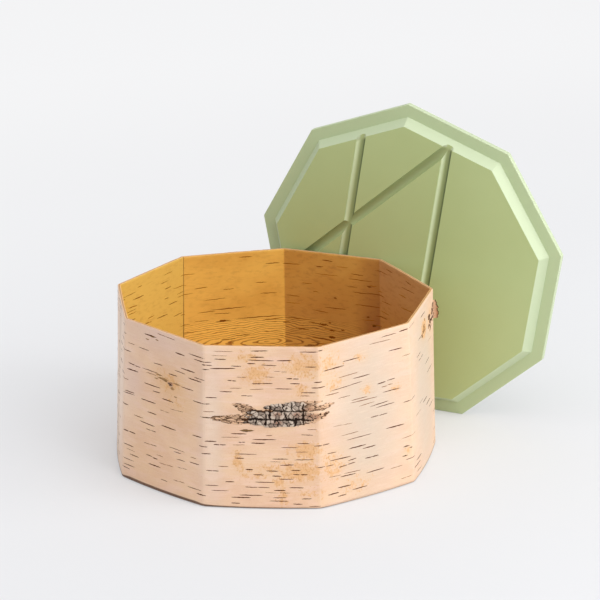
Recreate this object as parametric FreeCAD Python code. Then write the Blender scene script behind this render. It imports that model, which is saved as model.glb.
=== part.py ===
"""A nine-sided box of folded birch bark, and its wooden lid, stood on edge against the box.

Z is up and the floor is at Z = 0. The origin is on the box's axis, at the underside of its base board.
One flat side of the box faces -Y, and one folded corner points to +Y.
"""

import FreeCAD, Part
import math
import os

from FreeCAD import Matrix, Placement, Vector

# Driving dimensions, in millimetres and degrees.

# The bark tube. Corner radii run from the axis to the sharp corner that two sides would make.
SIDES = 9
FOOT_CORNER_RADIUS = 100.0  # at the floor
RIM_CORNER_RADIUS = 97.0  # at the rim: the wall leans in a little
FOOT_BOW = 1.7  # each side swells out this far at its middle, where the board holds it
RIM_BOW = 0.2  # and is almost flat at the rim
FOOT_FOLD_RADIUS = 8.0  # outside of a folded corner
RIM_FOLD_RADIUS = 4.0
BOX_HEIGHT = 98.3  # floor to rim
BARK_LIFT = 0.5  # the bark stops this far above the floor
OUTER_PLY = 0.9
INNER_PLY = 0.9
FOLD_SLACK = 0.8  # what lies inside the outer ply is this much rounder than its folds

# The seams of the two plies.
LAP_SIDE = 0  # the outer strip's ends overlap on this side, at the back
LAP_LENGTH = 24.0
LAP_STEP = 0.5  # what is left of the skived end on top
LAP_END = 3.0  # from the middle of that side round to the step
LAP_ROOT = 0.3  # the skived end is one with the ply below it, this deep
BUTT_CORNER = 1  # the inner strip's ends meet in this corner
BUTT_GAP = 0.3

# The base board, glued inside the foot of the outer ply.
BOARD_THICKNESS = 8.0
BOARD_CHAMFER = 0.6

# The lid: one board, rabbeted all round to leave a plug that drops into the rim.
LID_THICKNESS = 10.0
RABBET_DEPTH = 6.3
LID_OVERHANG = 5.2  # past the outside of the rim
PLUG_CLEARANCE = 0.6  # to the inner ply, at the rim, on each side
BEVEL_WIDTH = 4.1
LID_CORNER_ROUND = 1.5
EASED_EDGE = 0.5

# Round-bottomed grooves across the plug, each from the middle of one of its sides to another's.
GROOVED_SIDES = ((8, 4), (8, 2), (0, 3))
CUTTER_RADIUS = 3.1
GROOVE_DEPTH = 2.5

# The lid stands on one of its sides and leans on the box, its plug towards the box.
LID_TURN = 22.5  # the plug faces this far round from -Y, clockwise seen from above
LID_SHIFT = 45.3  # along the lid, from the box's axis to the middle of the lid
LID_GAP = 0.3

# Worked out from these.
HALF_TURN = math.pi / SIDES
WALL = OUTER_PLY + INNER_PLY
FLANGE_THICKNESS = LID_THICKNESS - RABBET_DEPTH
GROOVE_RUN_OUT = 2 * BEVEL_WIDTH  # past the edge of the plug's face, and so clear of its bevel
UP = Vector(0, 0, 1)
SAME_HEIGHT = 1e-4  # two heights nearer than this are the same


def corner_angle(number):
    return math.pi / 2 + 2 * HALF_TURN * number


def side_angle(number):
    """The way that a side faces. Side 0 lies between corner 0 and corner 1."""
    return corner_angle(number + 0.5)


def polar(radius, angle, z=0.0):
    return Vector(radius * math.cos(angle), radius * math.sin(angle), z)


def apothem(corner_radius):
    return corner_radius * math.cos(HALF_TURN)


def inset(corner_radius, depth):
    """The corner radius of the outline that lies depth inside every side, or outside where depth is negative."""
    return corner_radius - depth / math.cos(HALF_TURN)


def corners(corner_radius, z):
    return [polar(corner_radius, corner_angle(n), z) for n in range(SIDES)]


def flat_face(points):
    return Part.Face(Part.makePolygon(points + points[:1]))


def rounded_block(low_radius, high_radius, low, high, rounding):
    """A nine-sided solid between two heights, straight or tapered, with its upright edges rounded."""
    low_corners, high_corners = corners(low_radius, low), corners(high_radius, high)
    faces = [flat_face(low_corners[::-1]), flat_face(high_corners)]
    for n in range(SIDES):
        faces.append(flat_face([low_corners[n - 1], low_corners[n], high_corners[n], high_corners[n - 1]]))
    block = Part.makeSolid(Part.makeShell(faces))
    upright = [e for e in block.Edges if e.BoundBox.ZLength > SAME_HEIGHT]
    return block.makeFillet(rounding, upright)


def arc(start, middle, end):
    return Part.Arc(start, middle, end).toShape()


class Level:
    """One level outline of the wall's outer face: nine shallow arcs, joined by rounded corners."""

    def __init__(self, z, corner_radius, bow, fold_radius):
        half_side = corner_radius * math.sin(HALF_TURN)
        self.z, self.fold_radius = z, fold_radius
        self.side_radius = (half_side**2 + bow**2) / (2 * bow)
        self.side_centre = apothem(corner_radius) + bow - self.side_radius

    def centre_of_side(self, number):
        return polar(self.side_centre, side_angle(number), self.z)

    def fold_distance(self, fold_radius):
        """From the axis to the centre of an arc that runs smoothly into both of the sides at a corner."""
        off_line = self.side_centre * math.sin(HALF_TURN)
        past_line = math.sqrt((self.side_radius - fold_radius)**2 - off_line**2)
        return self.side_centre * math.cos(HALF_TURN) + past_line

    def centre_of_fold(self, number, fold_radius):
        return polar(self.fold_distance(fold_radius), corner_angle(number), self.z)

    def outline(self, depth, slack):
        """The wire that lies depth inside this outline, with folds that are slack rounder than it needs."""
        side_radius, fold_radius = self.side_radius - depth, self.fold_radius + slack

        def touch(side, corner):
            centre = self.centre_of_side(side)
            return centre + (self.centre_of_fold(corner, fold_radius) - centre).normalize() * side_radius

        edges = []
        for n in range(SIDES):
            middle = self.centre_of_side(n) + polar(side_radius, side_angle(n))
            fold = self.centre_of_fold(n + 1, fold_radius) + polar(fold_radius - depth, corner_angle(n + 1))
            edges.append(arc(touch(n, n), middle, touch(n, n + 1)))
            edges.append(arc(touch(n, n + 1), fold, touch(n + 1, n + 1)))
        return Part.Wire(edges)

    def reach(self, angle):
        """How far the wall reaches from the axis along angle: to a bowed side that faces that way, if one
        does, and otherwise to whichever folded corner lies furthest out."""
        to_fold = self.fold_distance(self.fold_radius)
        half_span = math.asin(to_fold * math.sin(HALF_TURN) / (self.side_radius - self.fold_radius))
        off_side = min(abs(math.remainder(angle - side_angle(n), math.tau)) for n in range(SIDES))
        if off_side < half_span:
            return self.side_centre * math.cos(off_side) + self.side_radius
        return to_fold * math.cos(HALF_TURN - off_side) + self.fold_radius


FLOOR_LEVEL = Level(0.0, FOOT_CORNER_RADIUS, FOOT_BOW, FOOT_FOLD_RADIUS)
RIM_LEVEL = Level(BOX_HEIGHT, RIM_CORNER_RADIUS, RIM_BOW, RIM_FOLD_RADIUS)


def slab(bottom, top):
    """All that lies between two heights, as far out as anything in the bark reaches."""
    return Part.makeCylinder(2 * FOOT_CORNER_RADIUS, top - bottom, Vector(0, 0, bottom))


def bark_block(depth, bottom, top, slack=0.0):
    """A solid between two heights whose sides lie depth inside the wall's outer face. Every side is ruled
    with straight lines from the floor to the rim."""
    outlines = [level.outline(depth, slack) for level in (FLOOR_LEVEL, RIM_LEVEL)]
    return Part.makeLoft(outlines, True, True).common(slab(bottom, top))


def edges_at(solid, z):
    """The edges of a solid that lie level at height z."""
    boxes = [(e, e.BoundBox) for e in solid.Edges]
    return [e for e, box in boxes if max(abs(box.ZMin - z), abs(box.ZMax - z)) < SAME_HEIGHT]


def lap_section(level):
    """The outer strip's skived end at one level: it follows the side that it lies on and rises to a step."""
    centre = level.centre_of_side(LAP_SIDE)

    def place(along, rise):
        radius = level.side_radius + rise
        return centre + polar(radius, side_angle(LAP_SIDE) + along / level.side_radius)

    start, middle = LAP_END - LAP_LENGTH, LAP_END - LAP_LENGTH / 2
    root, tip = place(start, -LAP_ROOT), place(LAP_END, -LAP_ROOT)
    low, high = place(start, 0.0), place(LAP_END, LAP_STEP)
    return Part.Wire([
        arc(root, place(middle, -LAP_ROOT), tip), Part.makeLine(tip, high),
        arc(high, place(middle, LAP_STEP / 2), low), Part.makeLine(low, root)])


def lap():
    sections = [lap_section(level) for level in (FLOOR_LEVEL, RIM_LEVEL)]
    return Part.makeLoft(sections, True, True).common(slab(BARK_LIFT, BOX_HEIGHT))


def outer_bark_wall():
    tube = bark_block(0.0, BARK_LIFT, BOX_HEIGHT)
    hollow = bark_block(OUTER_PLY, BARK_LIFT, BOX_HEIGHT)
    return tube.fuse(lap()).cut(hollow).removeSplitter()


def inner_bark_ply():
    """The second ply stands on the base board. It is a strip, and its ends meet in one corner."""
    tube = bark_block(OUTER_PLY, BOARD_THICKNESS, BOX_HEIGHT, FOLD_SLACK)
    hollow = bark_block(WALL, BOARD_THICKNESS, BOX_HEIGHT)
    butt = Part.makeBox(FOOT_CORNER_RADIUS, BUTT_GAP, BOX_HEIGHT, Vector(0, -BUTT_GAP / 2, 0))
    butt.rotate(Vector(), UP, math.degrees(corner_angle(BUTT_CORNER)))
    return tube.cut(hollow).cut(butt)


def base_board():
    board = bark_block(OUTER_PLY, 0.0, BOARD_THICKNESS, FOLD_SLACK)
    return board.makeChamfer(BOARD_CHAMFER, edges_at(board, 0.0))


def flange():
    """The lid's thin edge. Its shoulder, which sits on the rim, is at height 0, and it lies below that."""
    corner_radius = inset(RIM_CORNER_RADIUS, -LID_OVERHANG)
    board = rounded_block(corner_radius, corner_radius, -FLANGE_THICKNESS, 0.0, LID_CORNER_ROUND)
    return board.makeFillet(EASED_EDGE, edges_at(board, 0.0) + edges_at(board, -FLANGE_THICKNESS))


def groove(side_a, side_b, corner_radius):
    """What a round-nosed cutter takes out of the plug's face, from side to side and out at both ends."""
    cutter_height = RABBET_DEPTH - GROOVE_DEPTH + CUTTER_RADIUS
    start, end = (polar(apothem(corner_radius), side_angle(n), cutter_height) for n in (side_a, side_b))
    run_out = (end - start).normalize() * GROOVE_RUN_OUT
    path = end + run_out - (start - run_out)
    return Part.makeCylinder(CUTTER_RADIUS, path.Length, start - run_out, path)


def flat_lid():
    """The lid as it is milled: lying flat, with its plug up."""
    foot_radius = inset(RIM_CORNER_RADIUS, WALL + PLUG_CLEARANCE)
    face_radius = inset(foot_radius, BEVEL_WIDTH)
    plug = rounded_block(foot_radius, face_radius, 0.0, RABBET_DEPTH, LID_CORNER_ROUND)
    plug = plug.makeFillet(EASED_EDGE, edges_at(plug, RABBET_DEPTH))
    board = flange().fuse(plug)
    for side_a, side_b in GROOVED_SIDES:
        board = board.cut(groove(side_a, side_b, face_radius))
    return board.removeSplitter()


def stand_against_box(board):
    """Stand the flat lid on the floor, with its plug's face along the wall that it leans on."""
    facing = -math.pi / 2 - math.radians(LID_TURN)
    towards_box, right = polar(1, facing), polar(1, facing + math.pi / 2)
    away = facing + math.pi
    foot_reach, rim_reach = FLOOR_LEVEL.reach(away), RIM_LEVEL.reach(away)
    lean = math.atan2(foot_reach - rim_reach, BOX_HEIGHT)
    up = UP * math.cos(lean) + towards_box * math.sin(lean)
    normal = towards_box * math.cos(lean) - UP * math.sin(lean)
    distance = rim_reach + BOX_HEIGHT * math.tan(lean) + (RABBET_DEPTH + LID_GAP) / math.cos(lean)
    stands_at = right * LID_SHIFT - towards_box * distance
    centre = stands_at + up * apothem(inset(RIM_CORNER_RADIUS, -LID_OVERHANG))
    columns = zip(right, up, normal, centre)
    board.Placement = Placement(Matrix(*(value for row in columns for value in row)))
    return board


def lid():
    return stand_against_box(flat_lid())


def main():
    os.makedirs("parts", exist_ok=True)
    for make in (outer_bark_wall, inner_bark_ply, base_board, lid):
        shape = make()
        shape.exportStep(f"parts/{make.__name__}.step")
        print(make.__name__, len(shape.Solids), shape.isValid(), round(shape.Volume), "mm3")


main()
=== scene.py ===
"""The looks of a nine-sided box folded from birch bark, and of its painted lid, stood on edge against the box."""

import math
import random

import bpy
import numpy as np
from mathutils import Matrix, Vector

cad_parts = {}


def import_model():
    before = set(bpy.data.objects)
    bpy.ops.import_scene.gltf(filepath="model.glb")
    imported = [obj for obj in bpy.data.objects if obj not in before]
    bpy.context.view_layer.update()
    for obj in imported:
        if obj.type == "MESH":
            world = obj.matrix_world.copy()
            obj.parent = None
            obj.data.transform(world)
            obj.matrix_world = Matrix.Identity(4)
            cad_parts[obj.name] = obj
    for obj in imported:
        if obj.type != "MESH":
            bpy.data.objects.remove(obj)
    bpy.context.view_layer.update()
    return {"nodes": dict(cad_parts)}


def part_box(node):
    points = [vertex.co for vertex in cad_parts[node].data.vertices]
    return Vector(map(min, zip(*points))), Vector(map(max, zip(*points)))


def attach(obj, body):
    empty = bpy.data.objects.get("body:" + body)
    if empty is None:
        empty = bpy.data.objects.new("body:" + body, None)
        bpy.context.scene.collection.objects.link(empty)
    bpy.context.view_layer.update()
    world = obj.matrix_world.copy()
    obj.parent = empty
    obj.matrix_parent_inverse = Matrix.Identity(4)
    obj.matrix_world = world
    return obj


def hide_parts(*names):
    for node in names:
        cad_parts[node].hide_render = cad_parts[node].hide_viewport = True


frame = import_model()

MM = 0.001

# ----------------------------------------------------------------------------------------------------------
# The studio. The camera looks down over the front wall, so that the inside of the back walls shows. The floor
# is pale paper. Soft lamps stand at the front right, at both sides and overhead, in even light from all round.

VIEW_AZIMUTH, VIEW_ELEVATION, VIEW_ROLL = (math.radians(a) for a in (3.834, 18.746, -0.3925))
VIEW_DISTANCE = 1.8315
AIM_RIGHT, AIM_UP = 0.01641, 0.09553
LENS, SENSOR = 183.18, 36.0
SKY_SHARE = 0.66  # of the strength at which the surroundings are seen, for the light that they give
FLOOR_SIZE = 12.0
LIT_FLOOR = (0.30, -0.25, 0)  # the middle of the stretch that the lamps light and the object shades
OVERLIT_FLOOR = (0.78, -0.20, 0)  # what is too near the lamps, with its distances along y halved
# What the floor shows is partly its own glow: this much round the object, this much more far off and in the
# overlit stretch, and never more than this.
GLOW, MORE_GLOW, MOST_GLOW = 0.46, 0.44, 0.92


def colour(red, green, blue):
    """A colour as a screen shows it, from 0 to 255, in the linear numbers that a shader takes."""
    shares = (c / 255 for c in (red, green, blue))
    return (*(((s + 0.055) / 1.055) ** 2.4 for s in shares), 1.0)


class Wire:
    """One output socket of a material. Sums on it add Math nodes, and node() adds any other node."""

    def __init__(self, tree, socket=None):
        self.tree, self.socket = tree, socket

    def node(self, kind, settings=(), inputs=(), output=0):
        made = self.tree.nodes.new("ShaderNode" + kind)
        for name, value in dict(settings).items():
            setattr(made, name, value)
        for name, value in dict(inputs).items():
            if isinstance(value, Wire):
                self.tree.links.new(value.socket, made.inputs[name])
            else:
                made.inputs[name].default_value = value
        return Wire(self.tree, made.outputs[output]) if made.outputs else None

    def math(self, operation, *values):
        return self.node("Math", {"operation": operation}, dict(enumerate(values)))

    def __add__(self, other):
        return self.math("ADD", self, other)

    def __sub__(self, other):
        return self.math("SUBTRACT", self, other)

    def __rsub__(self, other):
        return self.math("SUBTRACT", other, self)

    def __mul__(self, other):
        return self.math("MULTIPLY", self, other)

    __radd__, __rmul__ = __add__, __mul__

    def between(self, low, high):
        """Rises smoothly from 0 at low to 1 at high."""
        return self.node("MapRange", {"interpolation_type": "SMOOTHSTEP"}, {0: self, 1: low, 2: high})

    def pick(self, without, with_it):
        """Goes from one colour to another as this goes from 0 to 1."""
        return self.node("Mix", {"data_type": "RGBA"}, {0: self, 6: without, 7: with_it}, output=2)

    def vector_math(self, operation, other=(0, 0, 0), output=1):
        """The output is 0 for a vector and 1 for a number."""
        return self.node("VectorMath", {"operation": operation}, {0: self, 1: other}, output)

    def stretched(self, x, y, z):
        return self.vector_math("MULTIPLY", (x, y, z), 0)

    def axis(self, number):
        """A vector's x, y or z, for 0, 1 or 2."""
        return self.node("SeparateXYZ", {}, {0: self}, number)

    def noise(self, scale, detail, roughness, output=0):
        inputs = {"Vector": self, "Scale": scale, "Detail": detail, "Roughness": roughness}
        return self.node("TexNoise", {}, inputs, output)

    def bump(self, distance, strength):
        return self.node("Bump", {}, {"Height": self, "Distance": distance, "Strength": strength})


def new_finish(name):
    """An empty material, and a wire to start its nodes from."""
    material = bpy.data.materials.new(name)
    material.use_nodes = True
    material.node_tree.nodes.clear()
    return material, Wire(material.node_tree)


def camera():
    right = Vector((math.cos(VIEW_AZIMUTH), math.sin(VIEW_AZIMUTH), 0))
    up = Vector((0, 0, 1))
    back = right.cross(up) * math.cos(VIEW_ELEVATION) + up * math.sin(VIEW_ELEVATION)
    level_up = back.cross(right)
    across = right * math.cos(VIEW_ROLL) + level_up * math.sin(VIEW_ROLL)
    above = level_up * math.cos(VIEW_ROLL) - right * math.sin(VIEW_ROLL)
    data = bpy.data.cameras.new("camera")
    data.lens, data.sensor_width = LENS, SENSOR
    made = bpy.data.objects.new("camera", data)
    made.matrix_world = Matrix((across, above, back)).transposed().to_4x4()
    made.matrix_world.translation = right * AIM_RIGHT + up * AIM_UP + back * VIEW_DISTANCE
    bpy.context.scene.collection.objects.link(made)
    bpy.context.scene.camera = made


def lamp(name, azimuth, elevation, distance, size, watts):
    """A square soft lamp that faces the object. Azimuth 0 is the front and 90 the right."""
    data = bpy.data.lights.new(name, "AREA")
    data.size, data.energy = size, watts
    made = bpy.data.objects.new(name, data)
    a, e = math.radians(azimuth), math.radians(elevation)
    towards = Vector((math.sin(a) * math.cos(e), -math.cos(a) * math.cos(e), math.sin(e)))
    made.location = towards * distance
    made.rotation_euler = towards.to_track_quat("Z", "Y").to_euler()
    bpy.context.scene.collection.objects.link(made)


def seen_directly(start):
    """1 where the camera sees a surface, straight or in a reflection, and 0 where it only lights others."""
    path = start.node("LightPath")
    rays = {o.name: Wire(start.tree, o) for o in path.socket.node.outputs}
    return rays["Is Camera Ray"] + rays["Is Glossy Ray"] + rays["Is Transmission Ray"]


def world():
    made = bpy.data.worlds.new("even light")
    made.use_nodes = True
    made.node_tree.nodes.clear()
    start = Wire(made.node_tree)
    seen = seen_directly(start)
    backdrop = seen.pick(colour(233, 235, 239), colour(243, 243, 244))
    light = start.node("Background", {}, {"Color": backdrop, "Strength": SKY_SHARE + (1 - SKY_SHARE) * seen})
    start.node("OutputWorld", {}, {"Surface": light})
    bpy.context.scene.world = made


def floor():
    """Paper that glows a little where it is seen, so that it stays even and still shows the object's shadow."""
    material, start = new_finish("floor_paper")
    place = start.node("TexCoord", output="Object")
    from_lit = place.vector_math("DISTANCE", LIT_FLOOR)
    overlit = 1 - place.stretched(1, 0.5, 1).vector_math("DISTANCE", OVERLIT_FLOOR).between(0.36, 0.62)
    paleness = start.math("MAXIMUM", from_lit.between(0.1, 0.9), overlit * 0.8)
    glow = paleness.pick(colour(190, 190, 192), colour(248, 248, 249))
    glow = start.node("Emission", {}, {"Color": glow, "Strength": 1.0})
    share = GLOW + MORE_GLOW * from_lit.between(0.55, 1.3) + MORE_GLOW * overlit
    share = seen_directly(start) * start.math("MINIMUM", share, MOST_GLOW)
    paper = start.node("BsdfDiffuse", {}, {"Color": colour(245, 245, 246)})
    shown = start.node("MixShader", {}, {0: share, 1: paper, 2: glow})
    start.node("OutputMaterial", {}, {"Surface": shown})
    half = FLOOR_SIZE / 2
    mesh = bpy.data.meshes.new("floor")
    corners = [(-half, -half, 0), (half, -half, 0), (half, half, 0), (-half, half, 0)]
    mesh.from_pydata(corners, [], [(0, 1, 2, 3)])
    mesh.materials.append(material)
    made = bpy.data.objects.new("floor", mesh)
    bpy.context.scene.collection.objects.link(made)


camera()
lamp("key", azimuth=45, elevation=40, distance=1.15, size=0.8, watts=5.0)
lamp("side", azimuth=82, elevation=28, distance=0.9, size=0.4, watts=2.3)
lamp("top", azimuth=30, elevation=75, distance=1.1, size=0.8, watts=3.4)
lamp("left", azimuth=-80, elevation=20, distance=1.6, size=1.5, watts=2.4)
world()
floor()
bpy.context.scene.view_settings.view_transform = "Standard"

# ----------------------------------------------------------------------------------------------------------
# The outer bark: one strip of birch bark, pale side out, soaked and folded round the base board into nine
# sides. Its skived ends are glued in a lap on the side behind. The knife left its rim a little uneven.

SIDES = 9
HALF_TURN = math.pi / SIDES
FOOT_CORNER_RADIUS, FOOT_BOW, FOOT_FOLD_RADIUS = 100 * MM, 1.7 * MM, 8 * MM
RIM_CORNER_RADIUS, RIM_BOW, RIM_FOLD_RADIUS = 97 * MM, 0.2 * MM, 4 * MM
FOLD_SHARE = 0.03  # of a side's width, at each end of it
PLY = 0.9 * MM
RELIEF = 0.1 * MM  # the skin of the bark lies this far inside its outline, and its dashes stand above that
SIDE_WIDTH = (FOOT_CORNER_RADIUS + RIM_CORNER_RADIUS) * math.sin(HALF_TURN)
BARK_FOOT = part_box("outer_bark_wall")[0].z
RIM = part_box("outer_bark_wall")[1].z
STIFF_FOOT = 10 * MM  # the board keeps the wall true up to here

# How far each corner is off its place, in millimetres, from the back corner round: outwards at the foot, where
# the board isn't quite regular, and outwards and upwards at the rim, where the bark has sprung.
FOOT_OFFSET = (0, 0, -0.5, 0.5, 0.1, 0, 0.5, -0.3, 0)
RIM_SPRING = ((0, -0.9), (0, 0.1), (0.1, 0.2), (-0.8, 1.1), (0.1, 0.1), (0, 0.1), (-0.9, 0.6), (0.4, 0.4), (0, 0))
BOW = (0.25, -0.2, 0.3, -0.3, 0.25, 0.2, -0.3, 0.2, -0.15)  # of each side's middle, outwards, in millimetres

LAP_MIDDLE_TO_END = 3.0 * MM
LAP_LENGTH = 24 * MM
LAP_STEP = 0.5 * MM  # what is left of the skived end on top
LAP_END = 0.5 + LAP_MIDDLE_TO_END / SIDE_WIDTH
EASED_EDGE = 0.12 * MM
RAGGED_CUTS, RAGGED, RAGGED_BELOW_RIM = 420, 0.06, 3 * MM  # the knife's cuts along the rim, 0.06 mm off its line
FOLD_LINE = 0.5 * MM  # half the width of the pale line down each fold, partly wear and partly a painted highlight
COLUMNS_ON_FLAT, COLUMNS_ON_FOLD, ROWS = 44, 9, 60
GLUE_LINE = colour(160, 114, 76)

# Soft-edged spots of colour on the bark: side, height, half width, half height (in millimetres), strength.
OCHRE_STAINS = (
    (4.29, 30, 3.5, 8, 0.9), (4.33, 24, 2, 7, 0.9), (4.88, 36, 12, 7, 1.0), (4.60, 25, 20, 3.5, 0.75),
    (4.45, 20, 12, 3, 0.7), (4.84, 23, 16, 8, 1.0), (4.66, 17, 6, 6, 0.8), (4.68, 7, 4, 8, 0.85),
    (4.93, 10, 12, 8, 0.6), (4.38, 92, 9, 5, 0.8), (4.46, 82, 9, 8, 1.0), (4.86, 87, 14, 9, 0.95),
    (4.84, 73, 6, 5, 0.85), (5.10, 88, 13, 12, 0.65), (5.16, 74, 9, 6, 0.7), (5.45, 86, 6, 4, 0.75),
    (5.50, 66, 5, 4, 0.9), (5.82, 62, 5, 3, 0.75), (5.12, 24, 12, 14, 0.7), (5.35, 10, 18, 8, 0.6),
    (3.57, 70, 15, 9, 0.6), (3.66, 60, 12, 10, 0.5), (3.60, 68.5, 7, 4, 1.1), (5.93, 21.5, 3, 3, 0.8),
    (6.56, 82.3, 7, 6, 1.5), (6.86, 83.5, 8, 7, 0.8), (4.97, 50, 6, 44, 0.35),
    (1.4, 30, 20, 12, 0.8), (7.5, 50, 18, 10, 0.8), (0.3, 60, 14, 20, 0.8), (8.4, 30, 22, 9, 0.8),
)
GREY_TINTS = (
    (3.45, 96, 34, 15, 0.9), (3.12, 62, 11, 16, 0.9), (3.97, 45, 5, 60, 0.5), (2.3, 80, 20, 20, 0.3),
    (0.7, 70, 24, 30, 0.6), (8.6, 20, 24, 24, 0.6),
)
TAN_TINTS = (
    (3.62, 58, 26, 26, 0.6), (3.35, 20, 30, 22, 0.5), (1.6, 50, 30, 40, 0.6), (8.2, 50, 30, 40, 0.6),
    (4.60, 58, 27, 11, 0.55), (3.58, 68, 16, 11, 1.0), (6.8, 83, 8, 9, 0.8),
)
# Cream over whole sides is partly the bark's tone and partly painted shade on the sides that face the lamps.
CREAM_TINTS_AND_PAINTED_SHADE = ((5.5, 55, 34, 80, 1.0), (6.5, 50, 34, 80, 1.0), (4.08, 50, 8, 60, 0.6), (2.5, 50, 30, 80, 1.0))
# Pale over the left-hand sides, from 1.7 to 2.8, is painted light where the lamps light the bark less. The smaller
# pale spots are the bark's tone.
PALE_TINTS_AND_PAINTED_LIGHT = (
    (1.7, 60, 26, 80, 0.5), (2.3, 60, 26, 80, 1.0), (2.8, 60, 18, 80, 1.0), (5.16, 62, 16, 12, 0.3),
    (4.44, 66, 8, 4, 0.5), (4.06, 50, 7, 60, 0.5),
)
TINTS = {"ochre": OCHRE_STAINS, "grey": GREY_TINTS, "tan": TAN_TINTS, "cream_and_painted_shade": CREAM_TINTS_AND_PAINTED_SHADE, "pale_and_painted_light": PALE_TINTS_AND_PAINTED_LIGHT}

# How far up the cut foot of the bark a dark band is painted, as a painted shadow where the bark meets the floor, in
# millimetres, from the back corner round.
PAINTED_FOOT_SHADOW = ((0, 0.7), (2.95, 1.2), (3.1, 2.3), (3.9, 2.1), (4.1, 1.3), (4.9, 0.8), (5.3, 0.5), (9, 0.7))


def side_outline(across, depth, corner_radius, bow, fold_radius):
    """One side at one level: how far out from the axis and how far along the side each point lies. across runs
    from -1 to 1 between the middles of the side's two folds."""
    half_side = corner_radius * math.sin(HALF_TURN)
    side_radius = (half_side**2 + bow**2) / (2 * bow)
    side_centre = corner_radius * math.cos(HALF_TURN) + bow - side_radius
    past_line = math.sqrt((side_radius - fold_radius) ** 2 - (side_centre * math.sin(HALF_TURN)) ** 2)
    to_fold = side_centre * math.cos(HALF_TURN) + past_line
    half_span = math.asin(to_fold * math.sin(HALF_TURN) / (side_radius - fold_radius))
    flat = 1 - 2 * FOLD_SHARE
    on_side = np.clip(across / flat, -1, 1) * half_span
    folded = np.clip((abs(across) - flat) / (1 - flat), 0, 1) * np.sign(across)
    turn = on_side + folded * (HALF_TURN - half_span)
    out = side_centre + (side_radius - fold_radius) * np.cos(on_side) + (fold_radius - depth) * np.cos(turn)
    along = (side_radius - fold_radius) * np.sin(on_side) + (fold_radius - depth) * np.sin(turn)
    return out, along


def wall(sides, heights, depth=0.0):
    """Places on the bark wall, that far inside its outline. sides counts the sides passed from the back
    corner, anticlockwise as seen from above, so 4.5 is the middle of the front."""
    sides, heights, depth = np.broadcast_arrays(np.asarray(sides, float) % SIDES, heights, depth)
    rise = heights / RIM
    side = np.floor(sides).astype(int)
    share = sides - side
    foot = side_outline(2 * share - 1, depth, FOOT_CORNER_RADIUS, FOOT_BOW, FOOT_FOLD_RADIUS)
    rim = side_outline(2 * share - 1, depth, RIM_CORNER_RADIUS, RIM_BOW, RIM_FOLD_RADIUS)
    out, along = (low + (high - low) * rise for low, high in zip(foot, rim))
    freed = np.clip((heights - STIFF_FOOT) / (RIM - STIFF_FOOT), 0, 1)
    bow = np.array(BOW)[side] * np.sin(math.pi * share) * np.sin(math.pi * freed) * MM
    out = out + bow + ripple(sides, heights) * freed
    facing = math.pi / 2 + 2 * HALF_TURN * (side + 0.5)
    x = out * np.cos(facing) - along * np.sin(facing)
    y = out * np.sin(facing) + along * np.cos(facing)
    outwards, upwards = (np.array(c) * MM for c in zip(*RIM_SPRING))
    z = heights
    for corner, weight in ((side, 1 - share), ((side + 1) % SIDES, share)):
        angle = math.pi / 2 + 2 * HALF_TURN * corner
        moved = weight * freed**1.5  # the spring comes in above the board, and more so near the rim
        shift = outwards[corner] * moved + np.array(FOOT_OFFSET)[corner] * MM * weight * (1 - rise)
        x, y = x + shift * np.cos(angle), y + shift * np.sin(angle)
        z = z + upwards[corner] * moved
    return np.stack([x, y, z], -1)


def ripple(sides, heights):
    """The slow unevenness of a sheet of bark: a few waves along it and up it, a tenth of a millimetre high."""
    # How many waves there are round the box, how they climb, where they begin, and their height in millimetres.
    waves = ((3, 31, 0.4, 0.05), (7, 70, 1.9, 0.035), (14, 45, 4.0, 0.03))
    turns = sides * 2 * math.pi / SIDES
    return sum(np.sin(n * turns + climb * heights + begin) * high * MM for n, climb, begin, high in waves)


def strip_columns(start, end):
    """Where a strip's columns of points stand, from one end of it to the other: close together on the folds."""
    stands = [start, end]
    for n in range(math.floor(start), math.ceil(end) + 1):
        stands += list(np.linspace(n + FOLD_SHARE, n + 1 - FOLD_SHARE, COLUMNS_ON_FLAT))
        stands += list(np.linspace(n - FOLD_SHARE, n + FOLD_SHARE, COLUMNS_ON_FOLD)[1:-1])
    return np.array(sorted(s for s in stands if start <= s <= end))


def strip_section(outer, inner, low, high):
    """Each point round a strip's cut end, up its outer face, over its eased rim, down its inner face and back
    along its lower edge: depth, height, how much it lies on the cut, and on its outer and inner edge."""
    rows = low + (high - low) * np.linspace(0, 1, ROWS)
    rows[-1] -= EASED_EDGE
    up = [(outer, z, 0, 0, 0) for z in rows]
    middle = (outer + inner) / 2
    over = [(outer + EASED_EDGE, high, 1, 1, 0), (middle, high + EASED_EDGE / 4, 1, 0, 0),
            (inner - EASED_EDGE, high, 1, 0, 1)]
    down = [(inner, z, 0, 0, 0) for z in rows[::-1]]
    return np.array(up + over + down + [(middle, low, 0, 0, 0)])


def grid_faces(section_points, columns, closed):
    """The quads of a grid of columns, each a loop of points. A strip that isn't closed has a face at each end."""
    faces = []
    for c in range(columns if closed else columns - 1):
        a, b = c * section_points, (c + 1) % columns * section_points
        for k in range(section_points):
            n = (k + 1) % section_points
            faces.append((a + k, b + k, b + n, a + n))
    if not closed:
        last = (columns - 1) * section_points
        faces.append(tuple(range(section_points)))
        faces.append(tuple(range(last, last + section_points))[::-1])
    return faces


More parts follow.
